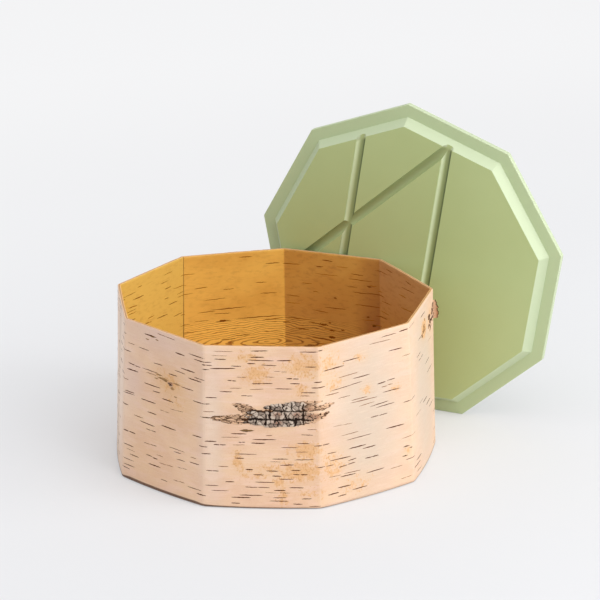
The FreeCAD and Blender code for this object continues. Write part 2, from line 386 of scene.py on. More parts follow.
def new_piece(name, points, faces, finish, body, slot, **readings):
    """A smooth mesh piece on a body of the frame. Its finish can read the numbers or vectors at its points."""
    mesh = bpy.data.meshes.new(name)
    mesh.from_pydata([tuple(p) for p in points], [], faces)
    for key, values in readings.items():
        values = np.asarray(values, np.float32)
        kind, field = ("FLOAT_VECTOR", "vector") if values.ndim == 2 else ("FLOAT", "value")
        mesh.attributes.new(key, kind, "POINT").data.foreach_set(field, values.ravel())
    mesh.validate()
    mesh.shade_smooth()
    mesh.materials.append(finish)
    made = bpy.data.objects.new(name, mesh)
    bpy.context.scene.collection.objects.link(made)
    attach(made, body)
    return made


def sides_apart(sides, side):
    """How many sides places lie from another, the short way round."""
    return (sides - side + SIDES / 2) % SIDES - SIDES / 2


def spread(places, sides, heights):
    """How strongly soft-edged spots colour each point. A spot is its side, its height, its half width and half
    height in millimetres, and its strength."""
    total = np.zeros_like(sides)
    for side, height, half_width, half_height, strength in places:
        across = sides_apart(sides, side) * SIDE_WIDTH / MM / half_width
        up = (heights / MM - height) / half_height
        total = np.maximum(total, strength * np.exp(-(across**2) - up**2))
    return total


def reading(start, name, output="Fac"):
    """What a piece's mesh holds at each point under that name."""
    return start.node("Attribute", {"attribute_name": name}, output=output)


def coat(material, start, sockets):
    """Gives a finish its surface, with those values and wires, and hands the finish back."""
    surface = start.node("BsdfPrincipled", {}, sockets)
    start.node("OutputMaterial", {}, {"Surface": surface})
    return material


def outer_bark_finish():
    material, start = new_finish("outer_bark")
    strip = reading(start, "strip", "Vector")
    ochre, grey, tan, cream_and_painted_shade, pale_and_painted_light = (reading(start, name) for name in TINTS)
    cut, glued, fold, singed = (reading(start, name) for name in ("cut", "inner_edge", "fold", "singed"))
    height = strip.axis(1)
    clouds = strip.stretched(1, 1.5, 1).noise(38, 3, 0.6)
    drift = strip.stretched(1, 4, 1).noise(60, 4, 0.6, output=1)
    streaks = strip.stretched(1, 14, 1).noise(95, 5, 0.65)
    grain = strip.stretched(1, 4, 1).noise(900, 3, 0.6)
    flecks = strip.stretched(1.6, 1, 1).noise(640, 3, 0.7)
    patches = strip.stretched(1, 0.9, 1).noise(300, 5, 0.65)
    base = clouds.between(0.36, 0.62).pick(colour(226, 187, 157), colour(232, 196, 163))
    base = (drift.axis(0).between(0.48, 0.64) * 0.5).pick(base, colour(236, 201, 182))
    # Cream: the bark's tone, and partly painted shade on the sides that face the lamps.
    base = (cream_and_painted_shade * (0.7 + 0.5 * clouds)).between(0, 1.2).pick(base, colour(204, 186, 167))
    base = (tan * (0.75 + 0.25 * clouds)).between(0, 1.1).pick(base, colour(223, 180, 136))
    base = (grey * (0.7 + 0.3 * streaks)).between(0, 1.2).pick(base, colour(224, 194, 177))
    # Pale: the bark's tone, and painted light over the left-hand sides.
    base = (pale_and_painted_light * (0.6 + 0.5 * clouds)).between(0, 1.1).pick(base, colour(246, 222, 203))
    base = (ochre * clouds * 0.7).pick(base, colour(222, 173, 118))
    speckled = (ochre * 0.7 + patches * 1.5 + flecks * 0.5).between(1.34, 1.58)
    base = (speckled * (1.35 * flecks - 0.05)).pick(base, colour(222, 167, 106))
    base = (speckled * flecks.between(0.52, 0.66) * 0.5).pick(base, colour(180, 122, 62))
    base = ((1 - streaks).between(0.5, 0.75) * 0.35).pick(base, colour(237, 214, 191))
    base = (streaks.between(0.55, 0.8) * 0.3).pick(base, colour(196, 150, 112))
    base = (flecks.between(0.56, 0.76) * 0.35).pick(base, colour(205, 150, 110))
    base = (grain.between(0.54, 0.74) * 0.22).pick(base, colour(172, 132, 106))
    # A pale line down each fold: partly wear, partly a painted highlight along the rounded fold.
    base = (fold * 0.25).pick(base, colour(236, 208, 180))
    base = (cut * 0.8).pick(base, colour(230, 188, 142))
    base = glued.pick(base, GLUE_LINE)
    # Painted shadow: a dark band up the foot, where the bark meets the floor.
    up_the_foot = height - BARK_FOOT + streaks * (0.6 * MM)
    base = ((singed * MM - up_the_foot).between(0, 0.5 * MM) * 0.85).pick(base, colour(84, 52, 36))
    relief = streaks * 0.5 + grain * 0.25 + patches * 0.3
    return coat(material, start, {
        "Base Color": base,
        "Roughness": 0.52 + 0.2 * patches,
        "Specular IOR Level": 0.3,
        "Normal": relief.bump(0.18 * MM, 0.6),
    })


def bark_strip(name, outer, inner, low, start, end, closed, finish, slot, lap_lift=None, seed=1, tints=(), **tones):
    """A strip of bark that lines the wall between two depths, from one of its ends to the other. A tint is a list
    of spots, and a tone is a list of sides and of how strong it is at each."""
    stands = strip_columns(start, end)
    section = strip_section(outer, inner, low, RIM)
    sides = np.repeat(stands, len(section))
    depths, heights, cut, outer_edge, inner_edge = np.tile(section, (len(stands), 1)).T
    chance = np.random.default_rng(seed)
    cuts = np.linspace(start, end, RAGGED_CUTS)
    ragged = np.interp(stands, cuts, chance.normal(0, RAGGED, RAGGED_CUTS)) * MM
    near_rim = np.clip((heights - RIM + RAGGED_BELOW_RIM) / RAGGED_BELOW_RIM, 0, 1)
    raised = heights + np.repeat(ragged, len(section)) * near_rim
    if lap_lift is not None:
        depths = depths - lap_lift(sides) * (inner - depths) / (inner - outer)
    points = wall(sides, raised, depths)
    places = np.stack([(sides - start) * SIDE_WIDTH, heights, depths], -1)
    fold = np.exp(-((sides - np.round(sides)) * SIDE_WIDTH / FOLD_LINE) ** 2)
    return new_piece(
        name, points, grid_faces(len(section), len(stands), closed), finish, "box", slot, strip=places,
        cut=cut, outer_edge=outer_edge, inner_edge=inner_edge, fold=fold,
        **{key: spread(spots, sides, heights) for key, spots in dict(tints).items()},
        **{key: np.interp(sides % SIDES, *zip(*tone)) for key, tone in tones.items()})


def lap_lift(sides):
    """How far the overlapping end of the strip stands off the wall."""
    lap = LAP_LENGTH / SIDE_WIDTH
    return np.clip((sides - (SIDES + LAP_END - lap)) / lap, 0, 1) * LAP_STEP


outer_bark = bark_strip(
    "outer_bark", RELIEF, PLY, BARK_FOOT, LAP_END, SIDES + LAP_END, True, outer_bark_finish(), "bark_outside",
    lap_lift, tints=TINTS, singed=PAINTED_FOOT_SHADOW)
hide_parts("outer_bark_wall")

# ----------------------------------------------------------------------------------------------------------
# The lenticels: the bark's breathing pores, thin dark dashes that run round the trunk and so round the box.
# They are part of the bark, and stand a hair above it.

LENTICEL_POINTS = 11
DIAMOND = ((-1, 0), (0, 1), (1, 0), (0, -1))  # a dash's section: how far each edge is up the bark and out of it
# For each side from the back corner round: how many dashes, and their shortest, longest and commonest length
# in millimetres.
LENTICELS = (
    (54, 4, 18, 8), (50, 4, 18, 8), (42, 4, 16, 8), (58, 4, 17, 8), (78, 3, 16, 7), (46, 5, 22, 10),
    (20, 8, 22, 13), (42, 4, 18, 9), (50, 4, 18, 8),
)
# How dark a dash is, and its half width in millimetres, each from least to most.
STRONG_DASH, FAINT_DASH, STRONG_SHARE = ((0.9, 1), (0.22, 0.36)), ((0.45, 0.7), (0.15, 0.24)), 0.75
THIN_DASHED_SIDE, THINNED_TO = 6, 0.75
PIECES = (1, 1, 1, 1, 1, 1, 2)  # one dash in seven is broken in two
LENTICEL_CLEARANCE = (1.5 * MM, 1.5 * MM)  # along the bark and up it
TRIES = 12  # for each dash that is wanted

# Where the branches were: side, and height in millimetres.
GREAT_SCAR_PLACE, CORNER_SCAR_PLACE, KNOT_PLACE = (4.607, 58.5), (6.87, 82.5), (3.60, 68)
# Where a scar or a knot leaves no room for a dash: side, height, half width and half height in millimetres.
BARE_PLACES = (
    (*GREAT_SCAR_PLACE, 25, 9.5), (4.30, 55, 18, 3), (5.08, 60, 12, 4), (6.9, 84, 12, 11), (*KNOT_PLACE, 5, 3),
    (5.93, 21.5, 4, 5),
)


class Slivers:
    """Thin tapering dashes on the wall, gathered into one mesh."""

    def __init__(self, depth=RELIEF, outwards=1):
        self.depth, self.outwards = depth, outwards
        self.points, self.faces, self.dark = [], [], []

    def add(self, chance, side, height, length, half_width, rise=0.05 * MM, slope=0.0, dark=1.0, wander=0.07 * MM,
            point=0.5):
        """side and height are the middle of the dash. Its section is a low diamond, half sunk in the bark. The
        larger point is, the longer its points."""
        first = len(self.points)
        steps = np.linspace(-0.5, 0.5, LENTICEL_POINTS)
        taper = np.sin(math.pi * (steps + 0.5)) ** point
        widths = half_width * taper * np.array([chance.uniform(0.75, 1.2) for _ in steps])
        middle = height + slope * steps * length + np.array([chance.uniform(-1, 1) for _ in steps]) * wander
        stands = side + steps * length / SIDE_WIDTH
        for shift, lift in DIAMOND:
            depth = self.depth - self.outwards * lift * rise * taper
            self.points += list(wall(stands, middle + shift * widths, depth))
        self.dark += [dark] * len(DIAMOND) * LENTICEL_POINTS
        for k in range(len(DIAMOND)):
            a, b = (first + edge % len(DIAMOND) * LENTICEL_POINTS for edge in (k, k + 1))
            for i in range(LENTICEL_POINTS - 1):
                quad = (a + i, a + i + 1, b + i + 1, b + i)
                self.faces.append(quad if self.outwards > 0 else quad[::-1])

    def as_piece(self, name, finish, slot):
        new_piece(name, self.points, self.faces, finish, "box", slot, dark=self.dark)


def lenticel_finish(name, dark, light):
    material, start = new_finish(name)
    place = start.node("TexCoord", output="Object")
    fibres = place.noise(2500, 3, 0.6)
    shade = (reading(start, "dark") * (0.8 + 0.4 * fibres)).between(0, 1)
    return coat(material, start, {
        "Base Color": shade.pick(light, dark),
        "Roughness": 0.75 + 0.15 * fibres,
        "Specular IOR Level": 0.05,
        "Normal": fibres.bump(0.08 * MM, 0.5),
    })


def is_clear(side, height, length, taken):
    """Whether a dash keeps off the places that are taken: side, height, half width and half height."""
    for other_side, other_height, half_width, half_height in taken:
        around = abs(sides_apart(side, other_side)) * SIDE_WIDTH
        if around < half_width + length / 2 and abs(height - other_height) < half_height:
            return False
    return True


def scatter(chance, counts, low, high, bare_places=()):
    """Places for dashes that lie clear of each other and of the bare places: side, height and length."""
    taken = [(side, *(size * MM for size in sizes)) for side, *sizes in bare_places]
    gap_along, gap_up = LENTICEL_CLEARANCE
    found = []
    for first_side, (count, *lengths) in enumerate(counts):
        wanted = len(found) + count
        for _ in range(count * TRIES):
            side, height = first_side + chance.random(), chance.uniform(low, high)
            length = chance.triangular(*lengths) * MM
            if is_clear(side, height, length, taken):
                found.append((side, height, length))
                taken.append((side, height, length / 2 + gap_along, gap_up))
            if len(found) == wanted:
                break
    return found


def outer_lenticels():
    chance = random.Random(11)
    slivers = Slivers()
    for side, height, length in scatter(chance, LENTICELS, BARK_FOOT + 1 * MM, RIM - 2 * MM, BARE_PLACES):
        darkness, widths = STRONG_DASH if chance.random() < STRONG_SHARE else FAINT_DASH
        dark, half_width = chance.uniform(*darkness), chance.uniform(*widths) * MM
        if int(side) == THIN_DASHED_SIDE:
            half_width *= THINNED_TO
        slope = chance.gauss(0, 0.02)
        pieces = chance.choice(PIECES)
        part = length / pieces
        for n in range(pieces):
            middle = (n + 0.5) * part - length / 2
            slivers.add(
                chance, side + middle / SIDE_WIDTH, height + slope * middle + chance.gauss(0, 0.12) * MM,
                part * chance.uniform(0.9, 1.15), half_width * chance.uniform(0.8, 1.1), slope=slope, dark=dark,
                point=0.4)
    finish = lenticel_finish("lenticel", colour(80, 35, 12), colour(186, 136, 100))
    slivers.as_piece("outer_lenticels", finish, "bark_outside")


outer_lenticels()

# ----------------------------------------------------------------------------------------------------------
# The scars, where the trunk lost branches: rows of grey cork scales with black cracks between them, and the
# bark drawn out into brown feathered points on both sides. They are part of the bark and stand a little proud.

# All in millimetres, along the bark and up it where there are two.
SCAR_STEP = 0.24  # from point to point of its mesh
SCALE, STRAND, RUSTY_SPOT = (1.5, 1.15), (3.4, 0.6), (2.3, 1.5)  # half sizes
SCALE_GAP = (1.6, 3.8)  # the least and the most, from one scale of a row to the next
STRAND_GAP = (3.5, 1.0)
ROW_REACH = 1.8  # a row of scales takes up this much above and below it
DARK_STRANDS_TO, BROWN_FROM, BROWN_OVER = 10, 14, 16  # to the right of the scar's middle
MOST_BROWN = 0.7

# A scar is a few lenses of cork. Each is its two ends, its half width, and how blunt its ends are, in
# millimetres from the scar's middle, along the bark and up it. Its scales lie in rows: height, and from where to
# where. Its cracks are lines with a half width, and rusty are the middles of its rusty spots.
GREAT_SCAR = dict(
    lenses=(
        (-20, -3.2, 27, -3.0, 5.3, 0.45), (-6, 3.2, 27, 3.6, 3.2, 0.4), (-37, -3.6, -6, -4.6, 3.0, 0.6),
        (-24.5, 5.4, -9, 1.6, 1.9, 0.5), (-21, 3.8, -9, -3, 2.8, 0.5), (6, 6.0, 30, 7.2, 1.2, 0.6),
        (20, 2.4, 37, 4.4, 2.0, 0.6), (12, -5.2, 34, -0.6, 2.2, 0.6), (-14, 1.5, 8, 1.5, 0.9, 0.4),
        (36, 4.4, 43, 5.4, 0.4, 0.7), (-44, -3.6, -33, -3.6, 0.35, 0.6),
    ),
    rows=((5.6, -4, 18), (3.2, -5, 20), (0.1, -15, 24), (-2.2, -16, 24), (-5.2, -17, 20), (-7.3, -12, 16)),
    cracks=(
        (-14, 1.4, 29, 1.3, 0.32), (-18, -3.8, 22, -3.9, 0.36), (-15.4, -3, -15.4, -6, 0.3),
        (-10.5, -3, -10.5, -6.5, 0.25), (-5, 3, -5, -7, 0.25), (-2.4, 4, -2.4, -3.8, 0.55), (5, 6, 5.4, 1, 0.4),
        (5.4, 1, 7.2, -3.8, 0.35), (10.2, 6, 10.2, 1.4, 0.3), (12.4, -3, 12.4, -8, 0.5), (16.7, 5, 16.7, -6, 0.55),
        (2, -4, 2.4, -8, 0.25), (18, 5.2, 28, 6.2, 0.15), (-14, -6, -30, -4.4, 0.1),
    ),
    rusty=((2, -0.8), (13, -0.8), (2, -5.5), (20, 3), (20, -1.5), (24, -2)),
)
CORNER_SCAR = dict(
    lenses=((-9, -4, 7, 2, 2.7, 0.5), (-9, 3, 2, 0, 2.0, 0.6), (0, 1, 9, 8, 2.2, 0.6), (-5, -8, 2, -1, 1.2, 0.6)),
    rows=((2, -5, 6), (-0.5, -6, 6), (-3, -4, 3)),
    cracks=((-5, -3.6, -4.6, -0.6, 1.1), (-4.6, -0.8, 6, -0.2, 0.8), (-5.0, 1.0, -5.4, 4.0, 0.8)),
    rusty=((2, 4),), least_brown=MOST_BROWN,
)
KNOT = dict(
    lenses=((-1.6, -0.2, 1.7, 0.2, 1.35, 0.6), (-3.2, 0.9, 0, 0.6, 0.7, 0.6)),
    rows=((0.6, -2, 2), (-0.8, -2, 2)), cracks=((-0.8, 0, 0.8, 0, 0.35),), rusty=((0, 1),),
    rise=0.4, least_brown=MOST_BROWN,
)

# Small brown marks: side and height, then length, half width and darkness.
SMALL_SCARS = (
    (4.375, 47.8, 8.8, 0.75, 0.6), (6.49, 79.3, 4, 0.9, 0.7), (6.57, 84.5, 5, 0.8, 0.3),
    (6.54, 82.0, 6, 0.9, 0.25), (6.60, 81.0, 4, 0.8, 0.3), (6.58, 83.2, 4, 0.8, 0.35),
    (5.92, 24.1, 6, 0.35, 0.8), (5.975, 22.5, 2.5, 0.35, 0.8), (5.90, 18.4, 5, 0.3, 0.8),
    (6.56, 82.3, 7, 2.4, 0.0), (6.60, 87.5, 3, 0.9, 0.2),
    (3.36, 93, 4, 0.5, 0.5), (3.42, 92, 3, 0.4, 0.4), (3.30, 90.5, 3.5, 0.35, 0.4),
    (5.02, 96.2, 5, 0.3, 0.8), (4.02, 84, 6, 0.3, 0.9), (4.03, 54.9, 11, 0.35, 0.8),
    (3.50, 69.9, 11, 0.7, 0.3), (3.45, 71.5, 7, 0.4, 0.45), (3.54, 69.0, 6, 0.3, 0.5), (3.67, 69.5, 8, 0.45, 0.3),
    (3.62, 65.9, 4, 0.8, 0.15), (3.60, 67.1, 3, 0.4, 0.5), (3.66, 61.5, 3, 0.4, 0.3), (3.42, 68.8, 4, 0.35, 0.4),
)

# The flake of cork at a corner: its side, then, in millimetres, its foot and height, how tightly it curls at its
# ends, how much more loosely in its middle, and how ragged it is.
FLAKE_SIDE, FLAKE_FOOT, FLAKE_HEIGHT = 7.02, 79, 11.5
FLAKE_RADIUS, FLAKE_BELLY, FLAKE_RAGGED = 0.6, 1.35, 0.35
FLAKE_CURL = 2.2  # how far round it bends, in radians, before it is torn
HALF_FLAKE = 0.22 * MM  # half its thickness
FLAKE_ROWS, FLAKE_COLUMNS = 24, 10


def uneven(chance, across, up, wide, tall):
    """Smooth random unevenness from 0 to 1, in bumps that wide and that tall."""
    u, v = across / wide, up / tall
    i, j = (np.floor(c).astype(int) for c in (u, v))
    table = chance.random((i.max() - i.min() + 2, j.max() - j.min() + 2))
    s, t = (c * c * (3 - 2 * c) for c in (u - i, v - j))
    i, j = i - i.min(), j - j.min()
    low = table[i, j] * (1 - s) + table[i + 1, j] * s
    return low * (1 - t) + (table[i, j + 1] * (1 - s) + table[i + 1, j + 1] * s) * t


def share_along(x, z, x0, z0, x1, z1):
    """How far along a line each place lies, from 0 at its start to 1 at its end."""
    return ((x - x0) * (x1 - x0) + (z - z0) * (z1 - z0)) / ((x1 - x0) ** 2 + (z1 - z0) ** 2)


def inside_scar(chance, across, up, lenses):
    """How far inside the scar's ragged edge each place lies, in millimetres."""
    strands = uneven(chance, across, up, 5, 0.5) - 0.5
    crumbs = uneven(chance, across, up, 0.9, 0.7) - 0.5
    deepest = np.full(across.shape, -9.0)
    for x0, z0, x1, z1, half_width, blunt in lenses:
        along = share_along(across, up, x0, z0, x1, z1)
        off = abs((across - x0) * (z1 - z0) - (up - z0) * (x1 - x0)) / math.hypot(x1 - x0, z1 - z0)
        width = half_width * np.sin(math.pi * np.clip(along, 0, 1)) ** blunt
        past_end = np.where((along < 0) | (along > 1), 2.0, 0.0)
        deepest = np.maximum(deepest, width - off - past_end)
    return deepest + strands * 1.1 + crumbs * 0.5


def scales_and_strands(chance, xs, zs, rows):
    """The scales of each row, and strands in all the rest: the middle, the half sizes, and 1 for a strand."""
    found = []
    for row, left, right in rows:
        stand = left
        while stand < right:
            found.append((stand, row + chance.normal(0, 0.45), *SCALE, 0))
            stand += chance.uniform(*SCALE_GAP)
    for stand in np.arange(xs[0], xs[-1], STRAND_GAP[0]):
        for level in np.arange(zs[0], zs[-1], STRAND_GAP[1]):
            if not any(l - 1 < stand < r + 1 and abs(level - row) < ROW_REACH for row, l, r in rows):
                found.append((stand + chance.uniform(-1.7, 1.7), level + chance.normal(0, 0.25), *STRAND, 1))
    return np.array(found)


def patch_faces(kept):
    """The quads of a grid that touch a kept point, and which points of the grid they use."""
    column, row = np.nonzero(kept[:-1, :-1] | kept[1:, :-1] | kept[:-1, 1:] | kept[1:, 1:])
    tall = kept.shape[1]
    first = column * tall + row
    quads = np.stack([first, first + tall, first + tall + 1, first + 1], 1)
    used, renumbered = np.unique(quads, return_inverse=True)
    return renumbered.reshape(quads.shape).tolist(), used


def scar(name, seed, place, finish, lenses, rows, cracks, rusty, rise=0.8, least_brown=0.0):
    """A patch of relief on the wall, cracked into scales that lie in rows and, in the points, into strands."""
    chance = np.random.default_rng(seed)
    starts_x, starts_z, ends_x, ends_z, half_widths, _ = zip(*lenses)
    beyond = max(half_widths) + 1.5
    xs = np.arange(min(starts_x + ends_x) - 1, max(starts_x + ends_x) + 1, SCAR_STEP)
    zs = np.arange(min(starts_z + ends_z) - beyond, max(starts_z + ends_z) + beyond, SCAR_STEP)
    across, up = (c.ravel() for c in np.meshgrid(xs, zs, indexing="ij"))
    inside = inside_scar(chance, across, up, lenses)
    scales = scales_and_strands(chance, xs, zs, rows)
    bent_x = across + (uneven(chance, across, up, 1.1, 1.1) - 0.5) * 1.3
    bent_z = up + (uneven(chance, across, up, 1.5, 1.5) - 0.5) * 1.1
    x, z, half_width, half_height, is_strand = scales.T
    away = np.hypot((bent_x[:, None] - x) / half_width, (bent_z[:, None] - z) / half_height)
    order = np.argsort(away, axis=1)
    to_first, to_second = np.take_along_axis(away, order[:, :2], 1).T
    nearest, to_edge = order[:, 0], to_second - to_first
    # Both are 0 on a seam or a crack and 1 well away from it: to_edge for the relief, seam for the colour.
    seam = np.clip((to_edge - 0.03) / 0.45, 0, 1)
    for x0, z0, x1, z1, half_width in cracks:
        along = np.clip(share_along(bent_x, bent_z, x0, z0, x1, z1), 0, 1)
        off = np.hypot(bent_x - x0 - along * (x1 - x0), bent_z - z0 - along * (z1 - z0)) - half_width
        to_edge = np.minimum(to_edge, np.clip(off / 0.8, 0, 1))
        seam = np.minimum(seam, np.clip((off + 0.1) / 0.5, 0, 1))
    strand = is_strand[nearest]
    light = chance.uniform(0.32, 1.35, len(scales))[nearest] * seam
    light *= np.where((strand > 0) & (across < DARK_STRANDS_TO), 0.64, 1)
    lift = rise * chance.uniform(0.4, 1.0, len(scales))[nearest] * np.sqrt(np.clip(to_edge / 0.6, 0, 1))
    lift = np.where(strand > 0, 0.35 * lift, lift) + (uneven(chance, across, up, 0.6, 0.6) - 0.5) * 0.16
    lift = -0.15 + np.clip(inside / 0.5, 0, 1) * (0.25 + lift)  # its edge sinks into the bark
    wide, tall = RUSTY_SPOT
    rust = sum(np.exp(-((across - x) / wide) ** 2 - ((up - z) / tall) ** 2) for x, z in rusty)
    brown = np.maximum(strand, np.clip((across - BROWN_FROM) / BROWN_OVER, least_brown, MOST_BROWN))
    side, height = place
    points = wall(side + across * MM / SIDE_WIDTH, height * MM + up * MM, RELIEF - lift * MM)
    faces, used = patch_faces((inside > -0.35).reshape(len(xs), len(zs)))
    new_piece(name, points[used], faces, finish, "box", "bark_outside",
              light=light[used], rust=rust[used], brown=brown[used])


def curled_flake(finish):
    """A flake of cork that has sprung off the bark at a corner and curls outwards, widest halfway up."""
    chance = random.Random(3)
    rises, turns = np.linspace(0, 1, FLAKE_ROWS), np.linspace(0.0, FLAKE_CURL, FLAKE_COLUMNS)
    points, light = [], []
    for rise in rises:
        belly = FLAKE_BELLY * math.sin(math.pi * min(0.1 + rise, 1)) ** 0.7
        radius = (FLAKE_RADIUS + belly + chance.uniform(-FLAKE_RAGGED, FLAKE_RAGGED)) * MM
        height = (FLAKE_FOOT + FLAKE_HEIGHT * rise) * MM
        torn = turns * chance.uniform(0.5, 1.25)
        for half_ply, bends in ((HALF_FLAKE, torn), (-HALF_FLAKE, torn[::-1])):
            along = radius - (radius + half_ply) * np.cos(bends)
            out = (radius + half_ply) * np.sin(bends) + bends * 0.7 * MM
            points += list(wall(FLAKE_SIDE - along / SIDE_WIDTH, height + out * 0.3, RELIEF - out))
            light += [chance.uniform(0.3, 1.6) * (1 - abs(2 * b / bends.max() - 1) ** 3) for b in bends]
    faces = grid_faces(2 * FLAKE_COLUMNS, FLAKE_ROWS, False)
    new_piece("curled_flake", points, faces, finish, "box", "bark_outside",
              light=light, rust=[0.0] * len(points), brown=[1.0] * len(points))


def cork_finish():
    material, start = new_finish("cork")
    place = start.node("TexCoord", output="Object")
    crumbs = place.noise(1500, 4, 0.7)
    crazing = place.node("TexVoronoi", {"feature": "DISTANCE_TO_EDGE"}, {"Vector": place, "Scale": 850.0})
    shade = reading(start, "light") * (0.35 + crumbs * 0.9 + crazing.between(0.0, 0.22) * 0.3)
    grey = shade.between(0.03, 0.45).pick(colour(40, 29, 24), colour(154, 136, 121))
    grey = shade.between(0.45, 1.0).pick(grey, colour(204, 187, 170))
    brown = shade.between(0.0, 0.55).pick(colour(72, 44, 26), colour(220, 180, 146))
    base = reading(start, "brown").pick(grey, brown)
    base = (reading(start, "rust") * shade.between(0.2, 0.7)).pick(base, colour(158, 108, 82))
    return coat(material, start, {
        "Base Color": base, "Roughness": 0.8 + 0.15 * crumbs, "Specular IOR Level": 0.06,
        "Normal": crumbs.bump(0.25 * MM, 0.8)})


def scars():
    cork = cork_finish()
    scar("great_scar", 5, GREAT_SCAR_PLACE, cork, **GREAT_SCAR)
    scar("corner_scar", 8, CORNER_SCAR_PLACE, cork, **CORNER_SCAR)
    scar("knot", 9, KNOT_PLACE, cork, **KNOT)
    curled_flake(cork)
    chance = random.Random(5)
    slivers = Slivers()
    for side, height, length, half_width, dark in SMALL_SCARS:
        slivers.add(chance, side, height * MM, length * MM, half_width * MM, 0.15 * MM, dark=dark, point=1.2)
    finish = lenticel_finish("small_scar", colour(66, 46, 28), colour(180, 140, 96))
    slivers.as_piece("small_scars", finish, "bark_outside")


scars()

# ----------------------------------------------------------------------------------------------------------
# The inner bark: a second strip, glued back to back with the first, its golden side in. It stands on the base
# board, and its two ends meet in one corner with a hair's gap.

BUTT_CORNER = 1
BUTT_GAP = 0.3 * MM
BOARD_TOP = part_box("base_board")[1].z
HALF_GAP = BUTT_GAP / 2 / SIDE_WIDTH

# The figure: flame-like lines round an eye, whose place is given along the strip and up it.
EYE_SIDE, EYE_HEIGHT = 0.18, 36 * MM
EYE = ((SIDES + EYE_SIDE - BUTT_CORNER - HALF_GAP) * SIDE_WIDTH, EYE_HEIGHT, 0)
FIGURE_LINE, FIGURE_WANDER = 1.3 * MM, 5.5 * MM  # from one line to the next, and how far a line strays
FIGURE_TOP, FIGURE_END = (50 * MM, 55 * MM), (30 * MM, 85 * MM)  # where it fades out, up and to the sides

# The dashes of each side, counted and measured like the lenticels outside.
INNER_DASHES = ((26, 4, 20, 8), (58, 4, 18, 8)) + ((38, 4, 22, 9),) * 7

# How strong each tone is at a number of sides from the back corner round: brown, dark with glue, yellow, rosy.
# The brown is partly the bark's tone and partly painted shade: on the back sides that face away from the lamps, and
# most by the corner between them.
UMBER_AND_SHADE = (
    (0, 0.0), (6.9, 0.3), (7.05, 0.66), (7.98, 0.66), (8.02, 1.0), (8.13, 0.9), (8.27, 0.6), (8.5, 0.62),
    (8.98, 0.56), (9, 0.0),
)
SEAM = ((0, 0.0), (0.985, 0.0), (0.998, 1.0), (1.002, 1.0), (1.015, 0.0), (9, 0.0))
YELLOW = ((0, 0.25), (0.98, 0.25), (1.02, 1.0), (1.95, 1.0), (2.2, 0.6), (9, 0.25))
ROSY = ((0, 0.0), (6.9, 0.0), (7.04, 1.0), (7.98, 1.0), (8.02, 0.0), (9, 0.0))

# Small knots and streaks: side, height, length and half width in millimetres.
INNER_KNOTS = (
    (0.606, 53, 4.5, 0.7), (0.60, 52.6, 11, 0.3), (8.47, 69, 2.2, 0.5), (8.125, 79.5, 3.2, 0.5),
    (8.14, 59, 2.2, 0.5), (8.08, 53.7, 3, 0.8), (8.60, 50.0, 8, 0.6), (8.51, 46.5, 4, 0.5), (8.40, 47.8, 3, 0.45),
    (8.51, 42, 5, 0.8), (8.53, 51.6, 2.0, 0.4), (0.26, 53.2, 32, 0.25), (8.85, 52.0, 20, 0.25),
    (0.93, 47.5, 12, 0.2), (0.55, 61, 24, 0.3), (8.2, 74.5, 14, 0.25),
)


def inner_bark_finish():
    material, start = new_finish("inner_bark")
    strip = reading(start, "strip", "Vector")
    clouds = strip.stretched(1, 1.4, 1).noise(24, 4, 0.6)
    mottle = strip.stretched(1, 2.5, 1).noise(190, 5, 0.65)
    streaks = strip.stretched(1, 12, 1).noise(80, 5, 0.6)
    base = clouds.between(0.36, 0.64).pick(colour(222, 160, 66), colour(241, 186, 86))
    base = reading(start, "yellow").pick(base, colour(228, 186, 90))
    height = strip.axis(1)
    # Brown, partly the bark's tone and partly painted shade, stronger towards the bottom of the wall.
    umber = reading(start, "umber") * (1.1 - 0.34 * height.between(40 * MM, 90 * MM))
    base = umber.pick(base, colour(154, 98, 46))
    rosy = reading(start, "rosy") * (0.2 + 0.5 * height.between(50 * MM, 95 * MM))
    base = rosy.pick(base, colour(184, 138, 98))
    base = (mottle.between(0.48, 0.72) * 0.25).pick(base, colour(178, 116, 48))
    base = (streaks.between(0.55, 0.8) * 0.25).pick(base, colour(170, 108, 44))
    base = (umber * clouds.between(0.5, 0.62) * 0.25).pick(base, colour(186, 126, 60))
    base = (umber * mottle.between(0.5, 0.7) * 0.4).pick(base, colour(122, 76, 36))
    from_eye = strip.vector_math("SUBTRACT", EYE, 0)
    rings = from_eye.stretched(0.14, 1, 0).vector_math("LENGTH")
    aside = from_eye.stretched(1, 0.4, 0).vector_math("LENGTH")
    waves = strip.stretched(1, 2.2, 1).noise(48, 3, 0.5) + mottle * 0.12
    lines = start.math("SINE", (rings + waves * FIGURE_WANDER) * (2 * math.pi / FIGURE_LINE))
    figured = (1 - height.between(*FIGURE_TOP)) * (1 - aside.between(*FIGURE_END))
    base = (figured * (0.9 - umber * 0.95)).pick(base, colour(248, 198, 94))
    line = umber.pick(colour(156, 92, 20), colour(84, 48, 16))
    base = (lines.between(0.2, 1.0) * figured * (1.9 * mottle - 0.15)).pick(base, line)
    base = (reading(start, "seam") * 0.8).pick(base, colour(96, 58, 24))
    base = (reading(start, "cut") * 0.8).pick(base, colour(220, 172, 120))
    base = reading(start, "outer_edge").pick(base, GLUE_LINE)
    relief = streaks * 0.5 + mottle * 0.5
    return coat(material, start, {
        "Base Color": base,
        "Roughness": 0.42 + 0.2 * mottle,
        "Specular IOR Level": 0.4,
        "Normal": relief.bump(0.15 * MM, 0.6),
    })


inner_bark = bark_strip(
    "inner_bark", PLY, 2 * PLY, BOARD_TOP, BUTT_CORNER + HALF_GAP, SIDES + BUTT_CORNER - HALF_GAP, False,
    inner_bark_finish(), "bark_inside", seed=2, umber=UMBER_AND_SHADE, yellow=YELLOW, rosy=ROSY, seam=SEAM)
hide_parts("inner_bark_ply")


